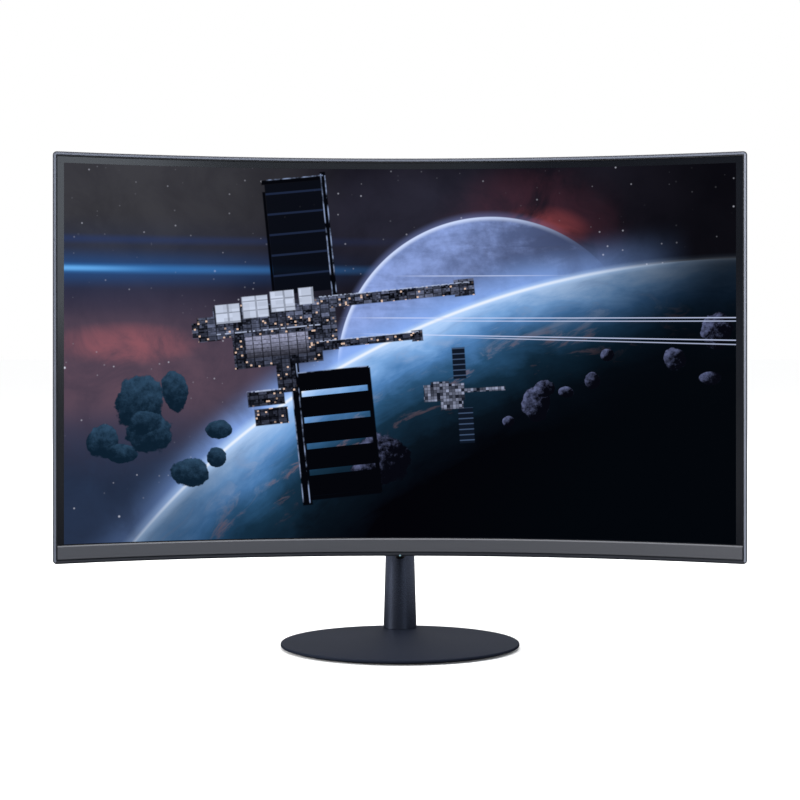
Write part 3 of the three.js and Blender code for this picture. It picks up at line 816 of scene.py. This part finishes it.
def curved_slab(made, arcs, heights, front, back):
    """Adds a closed slab bent round the screen's axis."""
    rows = []
    for depth in (front, back):
        rows.append([[made.verts.new(bent(a, depth, z)) for a in arcs] for z in heights])
    columns = len(arcs) - 1
    levels = len(heights) - 1
    for grid in rows:
        for j in range(levels):
            for i in range(columns):
                made.faces.new((grid[j][i], grid[j][i + 1], grid[j + 1][i + 1], grid[j + 1][i]))
    near, far = rows
    for j in (0, levels):
        for i in range(columns):
            made.faces.new((near[j][i], near[j][i + 1], far[j][i + 1], far[j][i]))
    for i in (0, columns):
        for j in range(levels):
            made.faces.new((near[j][i], near[j + 1][i], far[j + 1][i], far[j][i]))


def skin(made, rings):
    """Adds a closed surface over rings of points; a ring may be a single point."""
    rows = [[made.verts.new(point) for point in ring] for ring in rings]
    for near, far in zip(rows, rows[1:]):
        count = max(len(near), len(far))
        for i in range(count):
            j = (i + 1) % count
            corners = [near[i % len(near)], far[i % len(far)], far[j % len(far)], near[j % len(near)]]
            made.faces.new(list(dict.fromkeys(corners)))


def circle(radius, count):
    """Points round a circle, or its centre alone where it has no size."""
    if radius < 1e-7:
        return [(0.0, 0.0)]
    turns = [2 * math.pi * i / count for i in range(count)]
    return [(radius * math.sin(t), radius * math.cos(t)) for t in turns]


def lathed(made, profile, centre, squash_y, count):
    """Adds a solid turned about a vertical line; the profile starts and ends on the axis, or at one point."""
    skin(
        made,
        [[(centre[0] + x, centre[1] + y * squash_y, z) for x, y in circle(r, count)] for r, z in profile],
    )


def rounded_corner(radius, z, fillet, start, stop, count=6):
    """Profile points of a fillet whose centre is at (radius, z), between two angles in degrees."""
    return [
        (radius + fillet * math.cos(math.radians(t)), z + fillet * math.sin(math.radians(t)))
        for t in steps(start, stop, count)
    ]


# ---- The screen ----------------------------------------------------------------------------------------
def make_screen():
    arcs = steps(-LIT_ARC, LIT_ARC, 64)
    object_from(
        "screen_picture",
        lambda made: curved_slab(made, arcs, steps(LIT_LOW, LIT_HIGH, 8), 0.0, GLASS),
        picture_finish("lit_picture"),
        "display",
        "lcd_panel",
    )

    def border(made):
        seam = 0.00005
        outer = PANEL_ARC
        inner = LIT_ARC + seam
        wide = steps(-outer, outer, 64)
        curved_slab(made, wide, [LIT_HIGH + seam, panel_high.z], 0.0, GLASS)
        curved_slab(made, wide, [panel_low.z, LIT_LOW - seam], 0.0, GLASS)
        for side in ((-outer, -inner), (inner, outer)):
            curved_slab(made, side, [LIT_LOW - seam / 2, LIT_HIGH + seam / 2], 0.0, GLASS)

    object_from("screen_border", border, border_finish("black_border"), "display", "lcd_panel")


# ---- Rim, chin and power light ---------------------------------------------------------------------------
RIM_PROUD = 0.0012
CORNER = 0.0036
LENS_RADIUS = 0.0009
BOTTOM_SHARE = 0.9  # the rim's height along the bottom, as a share of its width elsewhere
RIM_BODY, RIM_PAINTED_HIGHLIGHT, RIM_SHADOW_GAP, RIM_LIP_SHADE = range(4)
RIM_PROFILE = [  # inset from the outline, depth behind the glass, finish of the face that follows
    (0.0000, 0.0090, RIM_BODY),
    (0.0000, 0.0003, RIM_BODY),
    (0.0001, -0.0003, RIM_BODY),
    (0.0004, -0.0008, RIM_BODY),
    (0.0008, -0.0010, RIM_BODY),
    # The chamfer strip takes a lighter finish: a painted highlight, a bright line standing in for light
    # caught on the chamfer.
    (0.0013, -0.0011, RIM_PAINTED_HIGHLIGHT),
    (0.0014, -0.0012, RIM_PAINTED_HIGHLIGHT),
    (0.0028, -0.0010, RIM_PAINTED_HIGHLIGHT),
    # The groove faces are black: painted shade in the gap between rim and glass.
    (0.0029, -0.0008, RIM_SHADOW_GAP),
    (0.0030, 0.0003, RIM_SHADOW_GAP),
    (0.0040, 0.0003, RIM_SHADOW_GAP),
    (0.0040, 0.0012, RIM_SHADOW_GAP),
    (0.0007, 0.0090, RIM_BODY),
]


def outline(inset):
    """The head's outline seen from the front, drawn in by an inset: (x, z, lies along the bottom)."""
    bend = max(CORNER, inset)
    radius = max(CORNER - inset, 0.0)
    side = HEAD_HALF - bend
    top = HEAD_BOTTOM + HEAD_HEIGHT - bend
    bottom = HEAD_BOTTOM + max(CORNER, inset * BOTTOM_SHARE)
    corners = [(side, bottom, -90), (side, top, 0), (-side, top, 90), (-side, bottom, 180)]
    points = [(x, bottom - radius, True) for x in steps(-side, side, 64)[1:-1]]
    for index, (x, z, start) in enumerate(corners):
        for turn in steps(start, start + 90, 8):
            at = (x + radius * math.cos(math.radians(turn)), z + radius * math.sin(math.radians(turn)))
            low = index == 0 and turn < -45 or index == 3 and turn > 225
            points.append((*at, low))
        if index == 1:
            points += [(across, top + radius, False) for across in steps(side, -side, 64)[1:-1]]
    return points


def behind_glass(x, depth, z):
    """A point at a distance across, a depth behind the glass and a height."""
    reach = SCREEN_RADIUS + depth
    return Vector((x, SCREEN_Y - SCREEN_RADIUS + math.sqrt(reach * reach - x * x), z))


def make_rim():
    def sweep(made):
        rings = []
        for inset, depth, _ in RIM_PROFILE:
            rings.append([made.verts.new(behind_glass(x, depth, z)) for x, z, _ in outline(inset)])
        low = [along_bottom for _, _, along_bottom in outline(0.0)]
        count = len(low)
        for index, (_, _, finish) in enumerate(RIM_PROFILE):
            near = rings[index]
            far = rings[(index + 1) % len(rings)]
            for i in range(count):
                j = (i + 1) % count
                face = made.faces.new((near[i], near[j], far[j], far[i]))
                # Every face along the bottom takes the darker lip finish: painted shade on the rim's bottom
                # run.
                face.material_index = RIM_LIP_SHADE if low[i] and low[j] else finish

    # The second finish, for the chamfer strip, is a painted highlight.
    finishes = [PAINT["rim"], PAINT["rim_highlight"], PAINT["black"], PAINT["lip_shade"]]
    object_from("case_rim", sweep, finishes, "display", "front_frame", smooth=28.0)


def make_chin():
    low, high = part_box("chin_bar")
    half = SCREEN_RADIUS * math.asin(high.x / SCREEN_RADIUS)
    chamfer = 0.0011
    small = 0.0004

    def strip(made):
        section = [
            (0.0015, low.z),
            (small - 0.0010, low.z),
            (-0.0010, low.z + small),
            (-0.0010, high.z - chamfer),
            (-0.0001, high.z),
            (0.0015, high.z),
        ]
        arcs = steps(-half, half, 64)
        rows = [[made.verts.new(bent(arc, depth, z)) for depth, z in section] for arc in arcs]
        for near, far in zip(rows, rows[1:]):
            for i in range(len(section)):
                j = (i + 1) % len(section)
                made.faces.new((near[i], near[j], far[j], far[i]))
        made.faces.new(rows[0])
        made.faces.new(rows[-1])

    object_from("chin_strip", strip, PAINT["chin"], "display", "chin_bar", smooth=20.0)


def make_power_light():
    """A small domed lens let into the lip under the chin."""
    low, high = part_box("power_light_lens")
    middle = (low + high) / 2

    def dome(made):
        front = SCREEN_Y - RIM_PROUD
        rings = [(0.0, 0.0), (0.6, 0.00002), (0.9, 0.0001), (1.0, 0.0003), (1.0, 0.0018), (0.0, 0.0018)]
        skin(
            made,
            [
                [(middle.x + x, front + back, middle.z + z) for x, z in circle(LENS_RADIUS * share, 24)]
                for share, back in rings
            ],
        )

    object_from("power_lens", dome, PAINT["lamp"], "display", "power_light_lens")


# ---- Stand ---------------------------------------------------------------------------------------------
SCREW_RECESS = 0.0022
RECESS_RADIUS = 0.0116
SCREW_HOLE = 0.0033
NECK_TAPER = 0.056  # width lost for each metre of height
NECK_WALL = 0.0022


def make_stand():
    def base(made):
        radius = base_high.x
        edge = 0.0010
        low, high = base_low.z, base_high.z
        profile = [(0.0, low), (radius - 0.0040, low), (radius - 0.0012, low + 0.0009)]
        profile += rounded_corner(radius - 0.0005, low + 0.0016, 0.0005, -40, 0, 3)
        profile += rounded_corner(radius - edge, high - edge, edge, 0, 90)
        profile += [(radius - 0.006, high), (radius * 0.5, high), (0.0, high)]
        lathed(made, profile, (0, 0), base_high.y / base_high.x, 192)

    plate = object_from("base_plate", base, PAINT["base"], "stand", "base_disc", smooth=50.0)
    step = base_low.z + SCREW_RECESS
    hole = [
        (0.0, -0.001),
        (RECESS_RADIUS, -0.001),
        (RECESS_RADIUS, step),
        (SCREW_HOLE, step),
        (SCREW_HOLE, base_high.z + 0.001),
        (0.0, base_high.z + 0.001),
    ]
    bored(plate, hole, (0, NECK_Y), 50.0)

    def neck(made):
        foot = neck_high.x - neck_low.x
        low, high = neck_low.z, neck_high.z
        squash = (neck_high.y - neck_low.y) / foot

        def half(z):
            return (foot - NECK_TAPER * (z - low)) / 2

        profile = [(half(z), z) for z in steps(low, high - 0.001, 24)]
        profile += [(half(high) - 0.0004, high - 0.0003), (half(high) - 0.0010, high)]
        profile += [(half(high) - NECK_WALL, high), (half(low) - NECK_WALL, low), (half(low), low)]
        lathed(made, profile, (0, NECK_Y), squash, 96)
        bmesh.ops.remove_doubles(made, verts=made.verts, dist=1e-7)

    object_from("neck_cover", neck, PAINT["neck"], "stand", "neck_tube", smooth=40.0)


# ---- Rear cover ----------------------------------------------------------------------------------------
def ease(t):
    s = min(1.0, max(0.0, t))
    return s * s * (3 - 2 * s)


def back_depth(arc, height):
    """How deep the case's back lies behind the glass, as in the solid model."""
    from_edge = min(HEAD_ARC - abs(arc), height, HEAD_HEIGHT - height)
    across = 1 - ease((abs(arc) - BULGE_HALF_WIDTH) / BULGE_RUN)
    upward = 1 - ease((height - BULGE_TOP) / BULGE_RUN)
    return CASE_EDGE_DEPTH + SHOULDER_DEPTH * ease(from_edge / SHOULDER_RUN) + BULGE_DEPTH * across * upward


def back_point(arc, height):
    return bent(arc, back_depth(arc, height), HEAD_BOTTOM + height)


def make_rear_cover(material):
    """The CAD cover, shaded with the true surface's slope instead of its facets'."""
    piece = placed("back_cover", NODES["rear_cover"].data.copy())
    mesh = piece.data
    mesh.materials.clear()
    mesh.materials.append(material)
    mesh.shade_smooth()
    tolerance = 0.0006
    step = 0.0015
    least_facing = 0.6
    normals = [None] * len(mesh.loops)
    for face in mesh.polygons:
        places = []
        for index in face.vertices:
            co = mesh.vertices[index].co
            arc = SCREEN_RADIUS * math.atan2(co.x, co.y - SCREEN_Y + SCREEN_RADIUS)
            depth = math.hypot(co.x, co.y - SCREEN_Y + SCREEN_RADIUS) - SCREEN_RADIUS
            places.append((arc, co.z - HEAD_BOTTOM, depth))
        on_back = all(abs(d - back_depth(a, h)) < tolerance for a, h, d in places)
        outward = Vector((face.center.x, face.center.y - SCREEN_Y + SCREEN_RADIUS, 0)).normalized()
        on_back = on_back and face.normal.dot(outward) > least_facing
        for loop, (arc, height, _) in zip(face.loop_indices, places):
            if not on_back:
                normals[loop] = tuple(face.normal)
                continue
            inner_arc = min(max(arc, -HEAD_ARC + step), HEAD_ARC - step)
            inner_height = min(max(height, step), HEAD_HEIGHT - step)
            along = back_point(inner_arc + step, inner_height) - back_point(inner_arc - step, inner_height)
            up = back_point(inner_arc, inner_height + step) - back_point(inner_arc, inner_height - step)
            slope = up.cross(along).normalized()
            if slope.dot(outward) < 0:
                slope = -slope
            normals[loop] = tuple(slope)
    mesh.normals_split_custom_set(normals)
    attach(piece, "display")
    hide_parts("rear_cover")


# ---- Cover screws and sockets --------------------------------------------------------------------------
SCREW_PROFILE = [  # radius, distance out of the case's back
    (0.0, -0.0070),
    (0.0016, -0.0070),
    (0.0016, -0.0011),
    (0.0032, -0.0011),
    (0.0032, 0.0001),
    (0.0030, 0.0004),
    (0.0024, 0.0007),
]
SCREW_ARC = 0.215
SCREW_HEIGHTS = (0.055, 0.300)
CROSS_MOUTH = (0.0017, 0.0005)
CROSS_FLOOR = (0.0011, 0.0004)


def cross(arm, half, count=24):
    """Points round a cross-shaped recess, spaced evenly by angle."""
    points = []
    for i in range(count):
        turn = 2 * math.pi * i / count
        most, least = sorted((abs(math.sin(turn)), abs(math.cos(turn))), reverse=True)
        reach = min(arm / most, half / max(least, 1e-6))
        points.append((reach * math.sin(turn), reach * math.cos(turn)))
    return points


def make_cover_screw(number, arc, height):
    """A black screw with a domed head and a cross recess, pointing at the screen's axis."""
    seat = back_depth(arc, height)
    rings = [(circle(radius, 24), out) for radius, out in SCREW_PROFILE]
    rings.append((cross(*CROSS_MOUTH), 0.0007))
    rings.append((cross(*CROSS_FLOOR), -0.0003))
    rings.append(([(0.0, 0.0)], -0.0005))

    def head(made):
        skin(
            made,
            [[bent(arc + a, seat + out, HEAD_BOTTOM + height + b) for a, b in ring] for ring, out in rings],
        )

    name = f"cover_screw_{number}"
    object_from(f"case_screw_{number}", head, PAINT["screw"], "display", name, smooth=30.0)


def make_socket(node):
    """A socket's plated shell, black inside and on its tongue."""
    piece = placed(f"{node}_shell", NODES[node].data.copy())
    finish_piece(piece, [PAINT["bright"], PAINT["black"]], "display", node)
    low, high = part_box(node)
    wall = 0.0007
    for face in piece.data.polygons:
        x, _, z = face.center
        inside = low.x + wall < x < high.x - wall and low.z + wall < z < high.z - wall
        face.material_index = int(inside)


# ---- Build ---------------------------------------------------------------------------------------------
PAINT = {
    "rim": painted("rim_satin", linear(56, 58, 66), 0.40, 0.2, 0.5, 2600.0, 0.000004),
    # Lighter colour for the rim's chamfer strip: a painted highlight.
    "rim_highlight": painted("rim_painted_highlight", linear(120, 125, 138), 0.30, 0.1, 0.5, 2600.0, 0.000004),
    # Darker colour for the rim's bottom run: painted shade.
    "lip_shade": painted("lower_lip_shade", linear(38, 40, 46), 0.45, 0.0, 0.2),
    "chin": brushed("chin_brushed", linear(86, 87, 92), 0.42, 0.35),
    "neck": painted("neck_satin", linear(70, 76, 91), 0.26, 0.85, 0.5, 2600.0, 0.000003),
    "base": painted("base_satin", linear(29, 33, 44), 0.55, 0.0, 0.03),
    "back": case_finish("case_ribbed"),
    # Black for moulded parts, also used as painted shade in the rim's groove.
    "black": painted("black_moulded_and_gap_shade", linear(22, 23, 27), 0.5, 0.0, 0.4),
    "bright": brushed("bright_steel", linear(176, 178, 182), 0.28, 1.0),
    "sheet": brushed("plated_sheet", linear(150, 152, 154), 0.4, 0.9),
    "board": board_finish("circuit_board"),
    "rubber": rubber_finish("pad_rubber"),
    "film": film_finish("pale_film", linear(228, 228, 224)),
    "screw": painted("screw_black_zinc", linear(30, 31, 34), 0.35, 0.6, 0.5),
    "nub": painted("jog_cap_black", linear(10, 11, 14), 0.45, 0.0, 0.2),
    "brass": brushed("turned_brass", linear(186, 152, 84), 0.35, 1.0, "z"),
    "lamp": lamp_finish("power_lamp"),
}

make_screen()
make_stand()
make_rear_cover(PAINT["back"])
make_rim()
make_chin()
make_power_light()
for i, (height, side) in enumerate((h, s) for h in SCREW_HEIGHTS for s in (-1, 1)):
    make_cover_screw(i + 1, side * SCREW_ARC, height)
for i in range(1, 4):
    make_socket(f"video_port_{i}")
eased("jog_nub", "jog_cap", PAINT["nub"], "jog_button", 0.0005, 3, 40.0, 40.0)
eased("hinge_spine", "neck_spine", PAINT["neck"], "stand", 0.0008, 3)
eased("hinge_arms", "hinge_bracket", PAINT["sheet"], "display", 0.0004, 2)
eased("hinge_end_left", "hinge_cap_left", PAINT["black"], "display", 0.0009, 3)
eased("hinge_end_right", "hinge_cap_right", PAINT["black"], "display", 0.0009, 3)

FINISH_OF = {
    "backlight_chassis": "sheet",
    "mount_plate": "sheet",
    "optical_sheets": "film",
    "light_guide": "film",
    "reflector_sheet": "film",
    "panel_ribbon_cable": "film",
    "led_strip": "board",
    "main_board": "board",
    "backlight_driver_board": "board",
    "panel_driver_board": "board",
    "jog_board": "board",
    "power_jack": "black",
    "headphone_jack": "black",
    "speaker_left": "black",
    "speaker_right": "black",
    "speaker_cable_left": "black",
    "speaker_cable_right": "black",
    "jog_housing": "black",
    "jog_gimbal": "bright",
    "jog_stem": "bright",
    "hinge_shaft": "bright",
    "friction_washer_left": "bright",
    "friction_washer_right": "bright",
    "hinge_nut_left": "bright",
    "hinge_nut_right": "bright",
    "base_screw": "bright",
    "base_disc": "base",
}
for i in range(1, 5):
    FINISH_OF[f"wall_mount_post_{i}"] = "brass"
for i in range(1, 7):
    FINISH_OF[f"base_pad_{i}"] = "rubber"
for node, finish in FINISH_OF.items():
    NODES[node].data.materials.clear()
    NODES[node].data.materials.append(PAINT[finish])


# ---- Studio: pale floor, soft lights and the camera ------------------------------------------------------
def by_ray(tree, seen, unseen, output):
    """Shows the camera one shader and everything else another."""
    choose = tree.nodes.new("ShaderNodeMixShader")
    tree.links.new(tree.nodes.new("ShaderNodeLightPath").outputs["Is Camera Ray"], choose.inputs[0])
    tree.links.new(unseen.outputs[0], choose.inputs[1])
    tree.links.new(seen.outputs[0], choose.inputs[2])
    tree.links.new(choose.outputs[0], tree.nodes[output].inputs["Surface"])


def floor_finish():
    """White to the camera; dark in the middle to everything that the floor lights or is mirrored in."""
    m = Maker("studio_floor")
    tone = m.noise(m.position(), 3.0, 2.0)
    m.set(
        Base_Color=m.blend(tone, (0.98, 0.98, 0.98, 1), (0.99, 0.99, 0.99, 1)),
        Roughness=0.9,
        Specular_IOR_Level=0.0,
        Emission_Color=(1, 1, 1, 1),
        Emission_Strength=0.04,
    )
    unseen = m.node("ShaderNodeBsdfDiffuse")
    x, _, _ = m.split(m.position())
    shade = x.abs().ramp(0.12, 0.60)
    feed(m.tree, m.blend(shade, (0.05, 0.05, 0.055, 1), (0.40, 0.40, 0.41, 1)), unseen.inputs["Color"])
    by_ray(m.tree, m.shader, unseen, "Material Output")
    return m.material


floor_mesh = bpy.data.meshes.new("studio_floor")
FLOOR_REACH = 30.0
floor_mesh.from_pydata(
    [(x * FLOOR_REACH, y * FLOOR_REACH, 0) for x, y in ((-1, -1), (1, -1), (1, 1), (-1, 1))],
    [],
    [(0, 1, 2, 3)],
)
floor_mesh.materials.append(floor_finish())
floor = placed("studio_floor", floor_mesh)


def softbox(name, place, target, size, power, colour=(1, 1, 1)):
    data = bpy.data.lights.new(name, "AREA")
    data.shape = "RECTANGLE"
    data.size, data.size_y = size
    data.energy = power
    data.color = colour
    lamp = placed(name, data)
    lamp.location = place
    lamp.rotation_euler = (Vector(target) - Vector(place)).to_track_quat("-Z", "Y").to_euler()


COOL = (0.82, 0.90, 1.0)
softbox("top_light", (0, 0.1, 2.6), (0, 0.1, 0), (4.5, 3.2), 60)
softbox("left_light", (-2.4, -0.1, 1.5), (0, 0, 0.25), (1.2, 2.0), 20)
softbox("left_front_light", (-2.1, -1.2, 0.9), (0.3, 0, 0.15), (0.9, 1.2), 62)
softbox("right_light", (2.4, -0.1, 1.3), (0, 0, 0.25), (1.2, 2.0), 16)
softbox("front_fill", (0.3, -2.3, 1.0), (0, 0, 0.4), (1.3, 0.9), 3.5, COOL)
softbox("key_light", (1.05, -2.05, 0.8), (-0.3, 0, 0.4), (0.8, 1.0), 12, COOL)
softbox("back_light", (0, 2.6, 1.9), (0, 0, 0.3), (3.0, 1.4), 30)

sky_data = bpy.data.lights.new("overhead", "SUN")
sky_data.energy = 2.6
sky_data.angle = math.radians(70)
placed("overhead", sky_data).location = (0, 0, 3)

world = bpy.data.worlds.new("studio")
bpy.context.scene.world = world
world.use_nodes = True
tree = world.node_tree
ground = tree.nodes["Background"]
ground.inputs["Color"].default_value = (0.93, 0.96, 1.0, 1)
ground.inputs["Strength"].default_value = 0.14
white = tree.nodes.new("ShaderNodeBackground")
white.inputs["Color"].default_value = (1, 1, 1, 1)
white.inputs["Strength"].default_value = 1.0
by_ray(tree, white, ground, "World Output")

bpy.context.scene.view_settings.view_transform = "Standard"
bpy.context.scene.view_settings.look = "None"

lens = bpy.data.cameras.new("camera")
lens.sensor_width = 36.0
lens.lens = 76.5
lens.shift_y = -0.0688
lens.clip_end = 100.0
camera = placed("camera", lens)
camera.location = (0.0, -1.5396, 0.2736)
camera.rotation_euler = (math.radians(90), 0, 0)
bpy.context.scene.camera = camera
